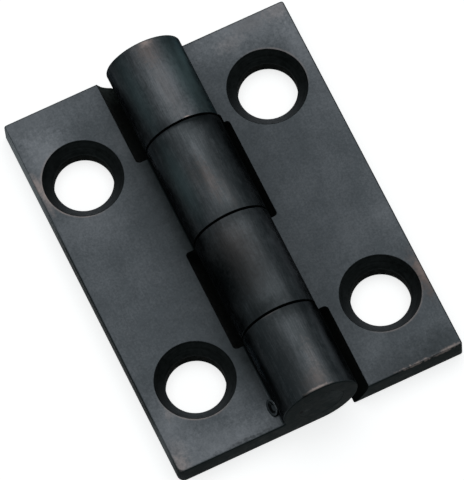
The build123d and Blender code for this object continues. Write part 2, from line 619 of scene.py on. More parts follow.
class DrawnGrain(Group):
    """Fine lines along the pin, left by drawing the section and brushing it back."""

    title = "Drawn grain"
    takes = {"Position": ("Vector", None), "Line Pitch": ("Float", 0.07), "Line Length": ("Float", 1.2)}
    gives = {"Line": "Float", "Streak": "Float"}
    lined = (0.28, 0.72)
    streak_scale = (0.3, 0.7, 0.3)

    def build(self) -> None:
        """Noise pressed narrow across the lines and pulled long along them."""
        b = self.bench
        pitch, length = self.inside["Line Pitch"], self.inside["Line Length"]
        fine = b.moved("DIVIDE", self.inside["Position"], b.joined(pitch, length, pitch))
        wide = b.moved("MULTIPLY", fine, self.streak_scale)
        b.feed(b.step(b.noise(fine, 1.0, 3.0, 0.65), *self.lined), self.out["Line"])
        b.feed(b.step(b.noise(wide, 1.0, 3.0, 0.6), *CLOUDY), self.out["Streak"])


class TurningRings(Group):
    """Fine rings round an axis along Z, left by a drill or a countersink."""

    title = "Turning rings"
    takes = {
        "Position": ("Vector", None),
        "Axis": ("Vector", (0.0, 0.0, 0.0)),
        "Ring Pitch": ("Float", 0.09),
    }
    gives = {"Ring": "Float", "Distance": "Float"}
    round_scale = 0.8

    def build(self) -> None:
        """Noise that changes with the distance from the axis and only slowly round it."""
        b = self.bench
        away = b.flat_way(self.inside["Position"], self.inside["Axis"])
        far = b.moved("LENGTH", away, output=1)
        way_x, way_y, _ = b.parts(b.moved("NORMALIZE", away))
        pitched = b.math("DIVIDE", far, self.inside["Ring Pitch"])
        round_x, round_y = b.product(way_x, self.round_scale), b.product(way_y, self.round_scale)
        rings = b.noise(b.joined(pitched, round_x, round_y), 1.0, 2.0)
        b.feed(b.step(rings, *CLOUDY), self.out["Ring"])
        b.feed(far, self.out["Distance"])


class RaggedPatch(Group):
    """A ragged patch of colour, for worn patina and for painted light and painted shade."""

    title = "Ragged patch"
    takes = {
        "Position": ("Vector", None),
        "Centre": ("Vector", (0.0, 0.0, 0.0)),
        "Reach": ("Vector", (1.0, 1.0, 1.0)),
        "Raggedness": ("Float", 0.6),
        "Grain Size": ("Float", 0.25),
    }
    gives = {"Mask": "Float"}
    greatest_push = 4.0

    def build(self) -> None:
        """Fades from the centre to the reach and breaks up on a noise."""
        b = self.bench
        away = b.moved("SUBTRACT", self.inside["Position"], self.inside["Centre"])
        far = b.moved("LENGTH", b.moved("DIVIDE", away, self.inside["Reach"]), output=1)
        finer = b.math("DIVIDE", 1.0, self.inside["Grain Size"])
        broken = b.noise(self.inside["Position"], finer, 3.0, 0.65)
        ragged = self.inside["Raggedness"]
        push = b.product(b.math("SUBTRACT", broken, 0.5), ragged, self.greatest_push)
        b.feed(b.step(b.math("ADD", far, push), 1.0, 0.0), self.out["Mask"])


class WornLitRim(Group):
    """A line round the lip of a screw hole, strongest on one side: copper wear and a painted highlight.
    """

    title = "Worn lit rim"
    takes = {
        "Position": ("Vector", None),
        "Centre": ("Vector", (0.0, 0.0, 0.0)),
        "Radius": ("Float", 2.54),
        "Width": ("Float", 0.1),
        "Facing": ("Vector", (0.0, -1.0, 0.0)),
    }
    gives = {"Mask": "Float"}
    side_ends = (0.3, 1.0)

    def build(self) -> None:
        """Distance to the lip's circle, and which way from the centre the point lies."""
        b = self.bench
        away = b.flat_way(self.inside["Position"], self.inside["Centre"])
        far = b.moved("LENGTH", away, output=1)
        off = b.math("ABSOLUTE", b.math("SUBTRACT", far, self.inside["Radius"]))
        towards = b.moved("DOT_PRODUCT", b.moved("NORMALIZE", away), self.inside["Facing"], output=1)
        line = b.step(off, self.inside["Width"], 0.0)
        b.feed(b.product(line, b.step(towards, *self.side_ends)), self.out["Mask"])


def blank_material(title: str) -> tuple[bpy.types.Material, Bench]:
    """Makes a material without nodes.

    Args:
        title: Name of the material.

    Returns:
        The material, and the bench of its node tree.
    """
    made = bpy.data.materials.new(title)
    made.use_nodes = True
    made.node_tree.nodes.clear()
    return made, Bench(made.node_tree)


class Effects:
    """The effect groups, each built once."""

    def __init__(self) -> None:
        """Builds every group."""
        self.patina = CloudyPatina()
        self.grain = DrawnGrain()
        self.rings = TurningRings()
        self.patch = RaggedPatch()
        self.rim = WornLitRim()


@dataclass(frozen=True)
class HingeSizes:
    """The sizes that both leaves share, in millimetres."""

    half_length: float = 12.7
    leaf_reach: float = 9.525
    leaf_thickness: float = 1.65
    knuckle_radius: float = 2.5
    root_fillet: float = 0.2
    joint_from_middle: float = 6.85
    knuckle_play: float = 0.14
    end_slot_radius: float = 3.3
    inner_slot_radius: float = 3.2
    slot_corner: float = 0.24
    middle_corner: float = 0.2
    pin_radius: float = 1.5
    pin_end_step: float = 0.02
    screw_hole_radius: float = 1.85
    countersink_radius: float = 2.525
    countersink_angle: float = 82.0
    edge_fillet: float = 0.12
    eased_lip: float = 0.035

    @property
    def countersink_depth(self) -> float:
        """Depth of the sunk part of a screw hole."""
        slope = tan(radians(self.countersink_angle / 2))
        return (self.countersink_radius - self.screw_hole_radius) / slope

    @property
    def root_from_pin(self) -> float:
        """How far the plate's face runs towards the pin before the knuckle rises."""
        return sqrt(self.knuckle_radius ** 2 - (self.knuckle_radius - self.leaf_thickness) ** 2)


@dataclass(frozen=True)
class Patch:
    """One place where the colour changes, for worn patina and for painted light and painted shade.

    Attributes:
        centre: Its middle, in millimetres.
        reach: How far it goes each way, in millimetres.
        strength: How much of the colour shows there.
        raggedness: How broken its outline is.
    """

    centre: Place
    reach: Place
    strength: float
    raggedness: float = 0.2


@dataclass(frozen=True)
class Lip:
    """An arc on the lip of a screw hole: copper wear and a painted highlight.

    Attributes:
        hole: Middle of the hole, in millimetres.
        facing: The side of the lip that is worn and painted bright.
        strength: How much of the metal shows.
        width: Width of the worn line, in millimetres.
    """

    hole: Spot
    facing: Spot
    strength: float
    width: float = 0.12


@dataclass(frozen=True)
class Coat:
    """A material being mixed: its bench, the effect groups and the place in millimetres."""

    bench: Bench
    effects: Effects
    place: Socket

    def put(self, effect: Group, **values: object) -> bpy.types.NodeOutputs:
        """Puts an effect group on the place."""
        return effect.place(self.bench, Position=self.place, **values)

    def summed(self, patches: tuple[Patch, ...]) -> object:
        """Adds up the masks of patches.

        Args:
            patches: The patches.

        Returns:
            Their sum, no more than 1, or 0 where there are none.
        """
        b, total = self.bench, 0.0
        for patch in patches:
            mask = self.put(self.effects.patch, Centre=patch.centre, Reach=patch.reach,
                            Raggedness=patch.raggedness)["Mask"]
            total = b.math("ADD", total, b.product(mask, patch.strength))
        return b.math("MINIMUM", total, 1.0) if patches else total

    def layered(self, colour: object, *layers: tuple[tuple[Patch, ...], Colour]) -> object:
        """Lays patches over a colour.

        Args:
            colour: The colour under them.
            layers: The patches of each layer, from the lowest, and their colour.

        Returns:
            The colour with its patches.
        """
        for patches, tint in layers:
            colour = self.bench.blend(self.summed(patches), colour, tint)
        return colour

    def shared(self, *parts: tuple[object, object]) -> Socket:
        """Sum of masks, each times its share."""
        return self.bench.total(*(self.bench.product(mask, share) for mask, share in parts))


@dataclass(frozen=True)
class Finish:
    """What every finish of the hinge has.

    Attributes:
        title: Name of the material.
        roughness: Least and greatest roughness, by the mottle.
        relief: Height of its small relief, in millimetres.
        relief_strength: How strong the relief is.
        relief_shares: Shares of its marks and of its specks in the relief.
    """

    title: str
    roughness: tuple[float, float] = (0.5, 0.5)
    relief: float = 0.01
    relief_strength: float = 0.25
    relief_shares: tuple[float, float] = (0.5, 0.5)

    def material(self, effects: Effects) -> bpy.types.Material:
        """Builds the material.

        Args:
            effects: The shared effect groups.

        Returns:
            The new material.
        """
        made, b = blank_material(self.title)
        place = b.put("ShaderNodeTexCoord").outputs["Object"]
        scaled = b.put("ShaderNodeVectorMath", {0: place, "Scale": 1 / MM}, operation="SCALE")
        shader = b.put("ShaderNodeBsdfPrincipled", self.surface(Coat(b, effects, scaled.outputs[0])))
        b.put("ShaderNodeOutputMaterial", {"Surface": shader.outputs[0]})
        return made

    def surface(self, coat: Coat) -> dict[str, object]:
        """What feeds the shader's inputs, by name; each finish mixes its own."""
        raise NotImplementedError

    def look(self, coat: Coat, mottle: Socket, colour: object, height: object, **set_to: object) -> dict:
        """What feeds the shader's inputs.

        Args:
            coat: The material being mixed.
            mottle: The mask that the roughness follows.
            colour: The colour.
            height: Height of the relief, from 0 to 1.
            set_to: Names of more inputs, with underscores for spaces, and their values.

        Returns:
            Names of the shader's inputs, and what feeds each.
        """
        bump = {"Strength": self.relief_strength, "Distance": self.relief * MM, "Height": height}
        return {
            "Base Color": colour,
            "Roughness": coat.bench.span(mottle, *self.roughness),
            "Normal": coat.bench.put("ShaderNodeBump", bump).outputs[0],
            **{name.replace("_", " "): value for name, value in set_to.items()},
        }


@dataclass(frozen=True)
class RubbedBronze(Finish):
    """The drawn faces: dark oiled bronze, satin, worn at the corners and lips, and painted light and
    shade.

    Attributes:
        patina: Colour of the full patina.
        thin: Colour where the patina is worn down, and of the painted light.
        copper: Colour of the metal that shows through, and of the painted highlights.
        thick: Colour of the painted shade on the plates and knuckles.
        greened: Colour of the painted teal light on the knuckles' flanks.
        handled: Colour of the patina on the knuckles, which hands and drawing have worn.
        warmed: Colour where it's worn down to the brown under it.
        cloud_share: How much the clouds thin the patina.
        mottle_share: How much the mottle varies it.
        speck_shares: How much the specks vary it on the plate and on the knuckles.
        line_share: How much the drawn lines vary it on the knuckles.
        plate_lines: Share of the drawn lines that is left on the plate.
        streak_share: How much the streaks vary it on the knuckles.
        gathered: How dark the painted shade is on the plate beside the knuckles.
        gather_fade: Distance from the knuckles in which it fades to a third, in millimetres.
        gather_start: Where that starts, in millimetres from the root of the knuckles.
        gather_ends: Where it fades towards the hinge's ends, in millimetres from mid-length.
        gathered_at_ends: Share of it that is left there.
        pale_patches: Painted light: lighter plate corners and ends, lifted knuckle highlights and flanks.
        copper_patches: Places where the metal shows, and painted highlights on two joint rims.
        thick_patches: Painted shade: darker plate areas, knuckle tops and flanks, and joint shadows.
        greened_patches: Places of painted teal light on the knuckles' flanks.
        warmed_patches: Places where it's brown.
        lips: Arcs on the lips of the screw holes: copper wear and painted highlights.
        lip_outside: How far outside the lip an arc lies, in millimetres.
        lip_left: Share of an arc that is left where the mottle is heaviest.
        knuckle_ends: How far outside the knuckles their look is gone and whole, in millimetres.
        knuckle_rise: Height over the plate in which it comes, in millimetres.
        sizes: Sizes of the hinge.
    """

    patina: Colour = (0.062, 0.070, 0.077)
    thin: Colour = (0.165, 0.175, 0.190)
    copper: Colour = (0.34, 0.275, 0.255)
    thick: Colour = (0.014, 0.017, 0.018)
    greened: Colour = (0.190, 0.262, 0.272)
    handled: Colour = (0.060, 0.067, 0.0715)
    warmed: Colour = (0.110, 0.084, 0.076)
    roughness: tuple[float, float] = (0.38, 0.48)
    cloud_share: float = 0.18
    mottle_share: float = 0.14
    speck_shares: tuple[float, float] = (0.24, 0.16)
    line_share: float = 0.26
    plate_lines: float = 0.3
    streak_share: float = 0.22
    relief: float = 0.012
    gathered: float = 0.6
    gather_fade: float = 2.2
    gather_start: float = 0.8
    gather_ends: tuple[float, float] = (8.0, 11.5)
    gathered_at_ends: float = 0.3
    pale_patches: tuple[Patch, ...] = ()
    copper_patches: tuple[Patch, ...] = ()
    thick_patches: tuple[Patch, ...] = ()
    greened_patches: tuple[Patch, ...] = ()
    warmed_patches: tuple[Patch, ...] = ()
    lips: tuple[Lip, ...] = ()
    lip_outside: float = 0.03
    lip_left: float = 0.4
    knuckle_ends: tuple[float, float] = (0.08, 0.02)
    knuckle_rise: float = 0.3
    sizes: HingeSizes = HingeSizes()

    def on_knuckle(self, coat: Coat) -> Socket:
        """Tells the knuckles from the plates.

        Args:
            coat: The material being mixed.

        Returns:
            Mask of the knuckles, above the plates.
        """
        b = coat.bench
        x, _, z = b.parts(coat.place)
        radius, top = self.sizes.knuckle_radius, self.sizes.leaf_thickness
        from_pin = b.moved("LENGTH", b.joined(x, 0.0, b.math("SUBTRACT", z, radius)), output=1)
        gone, whole = (radius + outside for outside in self.knuckle_ends)
        return b.product(b.step(from_pin, gone, whole), b.step(z, top, top + self.knuckle_rise))

    def beside_knuckles(self, coat: Coat, knuckle: Socket) -> Socket:
        """Paints shade on the plate towards the knuckles, less near its ends.

        Args:
            coat: The material being mixed.
            knuckle: Mask of the knuckles.

        Returns:
            Mask of the painted shade.
        """
        b = coat.bench
        x, y, _ = b.parts(b.moved("ABSOLUTE", coat.place))
        away = b.math("SUBTRACT", x, self.sizes.root_from_pin + self.gather_start)
        fall = b.math("EXPONENT", b.math("DIVIDE", away, -self.gather_fade))
        ends = b.ramp(y, self.gather_ends, (1.0, self.gathered_at_ends))
        return b.math("MULTIPLY", b.product(fall, ends, b.rest(knuckle)), self.gathered, clamp=True)

    def varied(self, coat: Coat, clouds: bpy.types.NodeOutputs, knuckle: Socket, lines: Socket) -> Socket:
        """Varies the tone by mottle, specks, lines and streaks.

        Args:
            coat: The material being mixed.
            clouds: Outputs of the patina group.
            knuckle: Mask of the knuckles.
            lines: How much of the drawn lines shows.

        Returns:
            What they add to the tone, lighter and darker alike.
        """
        b, grain = coat.bench, coat.put(coat.effects.grain)
        swings = (
            (clouds["Mottle"], self.mottle_share),
            (clouds["Speck"], b.span(knuckle, *self.speck_shares)),
            (grain["Line"], b.product(lines, self.line_share)),
            (grain["Streak"], b.product(knuckle, self.streak_share)),
        )
        return coat.shared(*((b.math("SUBTRACT", mask, 0.5), share) for mask, share in swings))

    def surface(self, coat: Coat) -> dict[str, object]:
        """Clouds, mottle and drawn lines, then patches of wear, painted light and painted shade, and the
        lips.

        Args:
            coat: The material being mixed.

        Returns:
            Names of the shader's inputs, and what feeds each.
        """
        b, clouds, knuckle = coat.bench, coat.put(coat.effects.patina), self.on_knuckle(coat)
        lines = b.span(knuckle, self.plate_lines, 1.0)
        # The patina thinned by clouds, plus the painted light of the lit patches.
        thinned_and_lit = b.total(b.product(clouds["Cloud"], self.cloud_share), coat.summed(self.pale_patches))
        tone = b.math("ADD", thinned_and_lit, self.varied(coat, clouds, knuckle, lines), clamp=True)
        colour = b.blend(tone, b.blend(knuckle, self.patina, self.handled), self.thin)
        # Painted teal light on knuckle flanks, then brown wear.
        colour = coat.layered(colour, (self.greened_patches, self.greened),
                              (self.warmed_patches, self.warmed))
        # Painted shade: the shade patches and the painted shade beside the knuckles.
        thick = b.either(coat.summed(self.thick_patches), self.beside_knuckles(coat, knuckle))
        colour = b.blend(thick, colour, self.thick)
        lip_radius = self.sizes.countersink_radius + self.lip_outside
        patchy = b.span(clouds["Mottle"], self.lip_left, 1.0)
        # Copper wear and a painted highlight on one side of each screw hole's lip.
        for lip in self.lips:
            arc = coat.put(coat.effects.rim, Radius=lip_radius, Centre=(*lip.hole, 0.0),
                           Facing=(*lip.facing, 0.0), Width=lip.width)["Mask"]
            colour = b.blend(b.product(arc, patchy, lip.strength), colour, self.copper)
        # Copper wear, with painted highlights on the knuckle rims at two joints.
        colour = coat.layered(colour, (self.copper_patches, self.copper))
        grain = coat.put(coat.effects.grain)
        marks = b.product(grain["Line"], lines)
        height = coat.shared(*zip((marks, clouds["Speck"]), self.relief_shares))
        return self.look(coat, clouds["Mottle"], colour, height, Metallic=1.0,
                         Specular_Tint=(0.12, 0.13, 0.14))


@dataclass(frozen=True)
class SawnBronze(Finish):
    """The ends and side faces: cut off, blackened and never rubbed.

    Attributes:
        tone: Colour of the blackened cut.
        grey: Colour of its smoother places.
        pit: Colour in a pit.
        bright: Colour where the cut is rubbed bright, and of the painted light on it.
        saw_marks: How many marks of the saw go to a millimetre, each way.
        shares: How much clouds, mottle and saw marks each lighten the cut.
        pits: Small dark pits.
        bright_patches: Rubbed bright places, and painted light on the left outer side face and beside the
            pin's pit.
    """

    tone: Colour = (0.008, 0.012, 0.0115)
    grey: Colour = (0.019, 0.0265, 0.028)
    pit: Colour = (0.002, 0.002, 0.002)
    bright: Colour = (0.30, 0.32, 0.335)
    saw_marks: Place = (0.9, 0.9, 14.0)
    shares: tuple[float, float, float] = (0.35, 0.3, 0.35)
    roughness: tuple[float, float] = (0.6, 0.75)
    relief: float = 0.02
    relief_shares: tuple[float, float] = (0.6, 0.4)
    pits: tuple[Patch, ...] = ()
    bright_patches: tuple[Patch, ...] = ()

    def surface(self, coat: Coat) -> dict[str, object]:
        """Mottle crossed by faint saw lines, and the pits.

        Args:
            coat: The material being mixed.

        Returns:
            Names of the shader's inputs, and what feeds each.
        """
        b = coat.bench
        clouds = coat.put(coat.effects.patina, Cloud_Size=1.4, Mottle_Size=0.35)
        saw = b.step(b.noise(b.moved("MULTIPLY", coat.place, self.saw_marks), 1.0, 3.0, 0.6), *CLOUDY)
        tone = coat.shared(*zip((clouds["Cloud"], clouds["Mottle"], saw), self.shares))
        colour = b.blend(tone, self.tone, self.grey)
        # Rubbed spots and painted light, then the dark pits.
        colour = coat.layered(colour, (self.bright_patches, self.bright), (self.pits, self.pit))
        height = coat.shared(*zip((saw, clouds["Speck"]), self.relief_shares))
        return self.look(coat, clouds["Mottle"], colour, height, Metallic=0.0, Specular_IOR_Level=0.04)


@dataclass(frozen=True)
class SunkBronze(Finish):
    """The countersinks: turned and blackened, and bright only where they face the lamp.

    Attributes:
        holes: Middles of the leaf's two screw holes, in millimetres.
        tone: Colour of the blackened metal.
        grey: Colour on its turned rings.
        ring_ends: Distances from a hole's middle at which its rings are gone and whole, in millimetres.
        shares: How much rings and mottle each lighten it.
    """

    holes: tuple[Spot, ...] = ()
    tone: Colour = (0.009, 0.0108, 0.010)
    grey: Colour = (0.024, 0.028, 0.028)
    ring_ends: tuple[float, float] = (3.4, 3.2)
    shares: tuple[float, float] = (0.6, 0.4)
    roughness: tuple[float, float] = (0.40, 0.50)
    relief: float = 0.01

    def surface(self, coat: Coat) -> dict[str, object]:
        """Rings round whichever hole is nearer.

        Args:
            coat: The material being mixed.

        Returns:
            Names of the shader's inputs, and what feeds each.
        """
        b, clouds = coat.bench, coat.put(coat.effects.patina, Cloud_Size=1.2, Mottle_Size=0.3)
        ring: object = 0.0
        for hole in self.holes:
            given = coat.put(coat.effects.rings, Axis=(*hole, 0.0))
            ring = b.total(ring, b.product(given["Ring"], b.step(given["Distance"], *self.ring_ends)))
        turned = coat.shared(*zip((ring, clouds["Mottle"]), self.shares))
        colour = b.blend(turned, self.tone, self.grey)
        return self.look(coat, clouds["Mottle"], colour, ring, Metallic=0.8,
                         Specular_Tint=(0.5, 0.52, 0.55))


@dataclass(frozen=True)
class ShadedMilledBronze(Finish):
    """The slots, bores and hole walls: black with oxide that no hand reaches, and near black as painted
    shade in these hollows.

    Attributes:
        tone: Colour of the oxide, near black as painted shade in these hollows.
        dusty: Colour where a light dusting lies on it, and of the painted light in a slot.
        cutter_marks: How many marks of the milling cutter go to a millimetre, each way.
        shares: How much dusting lies in the mottle and in the marks.
        dusty_patches: Places of painted light, in a slot near its open end.
    """

    tone: Colour = (0.0034, 0.0046, 0.0040)
    dusty: Colour = (0.036, 0.044, 0.042)
    cutter_marks: Place = (0.6, 11.0, 0.6)
    shares: tuple[float, float] = (0.06, 0.04)
    roughness: tuple[float, float] = (0.75, 0.95)
    relief: float = 0.02
    dusty_patches: tuple[Patch, ...] = ()

    def surface(self, coat: Coat) -> dict[str, object]:
        """Oxide with mottle and the marks of the milling cutter round the pin, and patches of painted
        light.

        Args:
            coat: The material being mixed.

        Returns:
            Names of the shader's inputs, and what feeds each.
        """
        b, clouds = coat.bench, coat.put(coat.effects.patina, Mottle_Size=0.3)
        marks = b.noise(b.moved("MULTIPLY", coat.place, self.cutter_marks), 1.0, 2.0)
        dust_and_light_mask = b.total(coat.shared(*zip((clouds["Mottle"], marks), self.shares)),
                       coat.summed(self.dusty_patches))
        # Near-black oxide, darkened as painted shade, lifted by the dusting and the painted light.
        colour = b.blend(b.math("MINIMUM", dust_and_light_mask, 1.0), self.tone, self.dusty)
        return self.look(coat, clouds["Mottle"], colour, marks, Metallic=0.0, Specular_IOR_Level=0.02)


class Hand(Enum):
    """Which leaf; the value is the side that its plate reaches to."""

    LEFT = -1
    RIGHT = 1


@dataclass(frozen=True)
class PunchMark:
    """The oval mark that closes the left leaf's end knuckle on the pin, in millimetres."""

    from_end: float = 1.33
    from_root: float = 0.315
    above_face: float = 0.12
    lean: float = 29.5
    half_width: float = 0.32
    half_length: float = 0.58
    rim_width: float = 0.11
    rim_height: float = 0.07
    rim_ease: float = 0.05
    depth: float = 0.14
    floor_share: float = 0.45


@dataclass(frozen=True)
class Notch:
    """What the slot cutter takes past the joint beside the right leaf's end knuckle, in millimetres."""

    reach: float = 2.78
    length: float = 0.78
    depth: float = 0.45
    corner: float = 0.3


@dataclass(frozen=True)
class LeafFinishes:
    """The finish of each kind of face on a leaf."""

    drawn: RubbedBronze
    sawn: SawnBronze
    sunk: SunkBronze
    milled: ShadedMilledBronze

    def dressed(self, effects: Effects) -> Dressed:
        """The four materials by kind of face."""
        kinds = {"drawn": self.drawn, "sawn": self.sawn, "sunk": self.sunk, "milled": self.milled}
        return {kind: finish.material(effects) for kind, finish in kinds.items()}


@dataclass(frozen=True)
class Workshop:
    """The shape groups that pieces are made with, each built once."""

    leaf: MilledLeaf
    punch: PunchedLeaf
    pin: TurnedPin

    @classmethod
    def opened(cls) -> "Workshop":
        """Builds every group round one turned drum."""
        drum = TurnedDrum()
        return cls(MilledLeaf(drum), PunchedLeaf(drum), TurnedPin(drum))


@dataclass
class Leaf:
    """One leaf: drawn stock, milled, bored, drilled and eased.

    Attributes:
        hand: Which leaf it is.
        node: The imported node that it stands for.
        body: The body that it rides on.
        finishes: Its finishes.
        holes: Middles of its screw holes, at the slotted end and beside its end knuckle.
        bore_radius: Radius of its pin hole, in millimetres.
        knuckle_end_corner: Radius of the outer corner beside its end knuckle, in millimetres.
        slot_end_corner: Radius of its other outer corner, in millimetres.
        mark: The punch mark, on the leaf that has it.
        notch: The slot cutter's run-out, on the leaf that has it.
        sizes: The sizes that both leaves share.
    """

    hand: Hand
    node: str
    body: str
    finishes: LeafFinishes
    holes: tuple[Spot, Spot]
    bore_radius: float
    knuckle_end_corner: float
    slot_end_corner: float = 0.18
    mark: PunchMark | None = None
    notch: Notch | None = None
    sizes: HingeSizes = HingeSizes()

    root_steps = 8
    round_steps = 96
    corner_steps = 8
    outline_steps = 5
    outline_angle = radians(60)
    lip_steps = 2
    same_place = 1e-4
    mark_margin = 0.05
    notch_margin = 0.1
    pin_margin = 0.01
    eased_below = 1.0

    def section(self) -> list[tuple[float, float]]:
        """Outline of the drawn section, left hand.

        Returns:
            X and Z of its points, from the heel under the pin along the back and over the knuckle.
        """
        size = self.sizes
        radius, ease, top = size.knuckle_radius, size.root_fillet, size.leaf_thickness
        ease_x = -sqrt((radius + ease) ** 2 - (top + ease - radius) ** 2)
        tilt = atan2(radius - top - ease, -ease_x)
        points = [(0.0, 0.0), (-size.leaf_reach, 0.0), (-size.leaf_reach, top)]
        for step in range(self.root_steps + 1):
            angle = -pi / 2 + (pi / 2 + tilt) * step / self.root_steps
            points.append((ease_x + ease * cos(angle), top + ease + ease * sin(angle)))
        sweep = pi + tilt + pi / 2
        for step in range(1, self.round_steps):
            angle = pi + tilt - sweep * step / self.round_steps
            points.append((radius * cos(angle), radius + radius * sin(angle)))
        return points

    def stock(self) -> bpy.types.Mesh:
        """Stock cut to length, with its outer corners and outlines rounded.

        Returns:
            The mesh, in millimetres.
        """
        size = self.sizes
        half, reach = size.half_length, size.leaf_reach
        form = bmesh.new()
        rings = [[form.verts.new((x, y, z)) for x, z in self.section()] for y in (-half, half)]
        form.faces.new(rings[0])
        form.faces.new(rings[1])
        count = len(rings[0])
        for near in range(count):
            far = (near + 1) % count
            form.faces.new((rings[0][near], rings[0][far], rings[1][far], rings[1][near]))
        bmesh.ops.recalc_face_normals(form, faces=form.faces)
        for y, radius in ((-half, self.knuckle_end_corner), (half, self.slot_end_corner)):
            upright = Vector((-reach, y))
            corner = [e for e in form.edges
                      if all((v.co.xy - upright).length < self.same_place for v in e.verts)]
            self.round_over(form, corner, radius, self.corner_steps)
        outline = [e for e in form.edges if e.calc_face_angle(0.0) > self.outline_angle]
        self.round_over(form, outline, size.edge_fillet, self.outline_steps)
        mesh = bpy.data.meshes.new(self.node)
        form.to_mesh(mesh)
        form.free()
        return mesh

    def round_over(self, form: bmesh.types.BMesh, edges: list, radius: float, steps: int) -> None:
        """Rounds edges of the stock.

        Args:
            form: The stock being shaped.
            edges: The edges to round.
            radius: Radius of the rounding, in millimetres.
            steps: How many faces go round it.
        """
        bmesh.ops.bevel(form, geom=edges, offset=radius, offset_type="OFFSET", segments=steps,
                        profile=0.5, affect="EDGES", clamp_overlap=False)

    def cut_metal(self, piece: bpy.types.Object, shop: Workshop, dressed: Dressed) -> None:
        """Mills, bores, drills and punches the stock.

        Args:
            piece: The leaf's object, with the stock as its mesh.
            shop: The shape groups.
            dressed: The leaf's materials by kind of face.
        """
        size, notch, mark = self.sizes, self.notch or Notch(), self.mark
        joint, half_play = size.joint_from_middle, size.knuckle_play / 2
        turn = -self.hand.value
        first_hole, last_hole = ((turn * x, turn * y, 0.0) for x, y in self.holes)
        shop.leaf.shape(
            piece, size, Bore_Radius=self.bore_radius, End_Slot_Start=joint - half_play,
            Inner_Slot_Start=-joint - half_play, Inner_Slot_Length=joint + size.knuckle_play,
            Notched=self.notch is not None, Notch_Start=-joint, Notch_Reach=notch.reach,
            Notch_Length=notch.length, Notch_Depth=notch.depth, Notch_Corner=notch.corner,
            First_Hole=first_hole, Last_Hole=last_hole,
            Countersink_Depth=size.countersink_depth, Milled_Finish=dressed["milled"],
            Sunk_Finish=dressed["sunk"], Sawn_Finish=dressed["sawn"],
        )
        if mark:
            centre = (-(size.root_from_pin + mark.from_root), -size.half_length + mark.from_end,
                      size.leaf_thickness + mark.above_face)
            shop.punch.shape(piece, mark, Centre=centre, Lean=radians(mark.lean), Finish=dressed["drawn"])

    def left_alone(self, point: Vector) -> bool:
        """Tells what is not eased: the punch mark, the notch and the lip round the pin's end.

        Args:
            point: A point of the leaf, left hand, in millimetres.

        Returns:
            True where the point is on one of them.
        """
        mark, notch, size = self.mark, self.notch, self.sizes
        at_mark = at_notch = False
        if mark:
            along = abs(point.y - (mark.from_end - size.half_length))
            across = abs(point.x + size.root_from_pin + mark.from_root)
            at_mark = (along < mark.half_length + self.mark_margin
                       and across < mark.half_width + self.mark_margin)
        if notch:
            past_joint = -size.joint_from_middle - point.y
            margin = self.notch_margin
            at_notch = (-margin < past_joint < notch.length + margin
                        and abs(point.x) < notch.reach + margin)
        from_axis = sqrt(point.x ** 2 + (point.z - size.knuckle_radius) ** 2)
        at_end = abs(point.y) > size.half_length - self.pin_margin
        at_pin = at_end and from_axis < self.bore_radius + self.pin_margin
        return at_pin or (point.z > self.eased_below and (at_mark or at_notch))

    def ease_lips(self, piece: bpy.types.Object) -> None:
        """Takes the sharpness off every cut lip, and shades the rest smooth.

        Args:
            piece: The leaf's object.
        """
        size = self.sizes
        form = bmesh.new()
        form.from_mesh(piece.data)
        weight = form.edges.layers.float.new("bevel_weight_edge")
        for edge in form.edges:
            sharp = edge.calc_face_angle(0.0) > SHARP
            eased = sharp and not any(self.left_alone(v.co) for v in edge.verts)
            edge[weight] = float(eased)
            edge.smooth = eased or not sharp
        form.to_mesh(piece.data)
        form.free()
        piece.data.shade_smooth()
        ease = piece.modifiers.new("eased lips", "BEVEL")
        ease.width, ease.segments, ease.limit_method = size.eased_lip, self.lip_steps, "WEIGHT"
        ease.use_clamp_overlap, ease.harden_normals = False, True
        settle(piece)
        for vertex in piece.data.vertices:
            vertex.co.y = max(-size.half_length, min(size.half_length, vertex.co.y))

    def build(self, shop: Workshop, effects: Effects) -> bpy.types.Object:
        """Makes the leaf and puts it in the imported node's place.

        Args:
            shop: The shape groups.
            effects: The shared effect groups.

        Returns:
            The finished piece.
        """
        dressed = self.finishes.dressed(effects)
        mesh = self.stock()
        mesh.materials.append(dressed["drawn"])
        piece = hang(f"{self.node}.finished", mesh)
        self.cut_metal(piece, shop, dressed)
        self.ease_lips(piece)
        turn = Matrix.Rotation(pi if self.hand is Hand.RIGHT else 0.0, 4, "Z")
        piece.data.transform(Matrix.Scale(MM, 4) @ turn)
        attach(piece, self.body)
        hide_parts(self.node)
        return piece


@dataclass
class Pin:
    """The hinge pin, flush with the end knuckles."""

    finish: SawnBronze
    node: str = "hinge_pin"
    body: str = "fixed_half"
    sizes: HingeSizes = HingeSizes()

    def build(self, shop: Workshop, effects: Effects) -> bpy.types.Object:
        """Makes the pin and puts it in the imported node's place.

        Args:
            shop: The shape groups.
            effects: The shared effect groups.

        Returns:
            The finished piece.
        """
        piece = hang(f"{self.node}.finished", bpy.data.meshes.new(self.node))
        shop.pin.shape(piece, self.sizes, Finish=self.finish.material(effects))
        piece.data.shade_smooth()
        piece.data.set_sharp_from_angle(angle=SHARP)
        piece.data.transform(Matrix.Scale(MM, 4))
        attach(piece, self.body)
        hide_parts(self.node)
        return piece


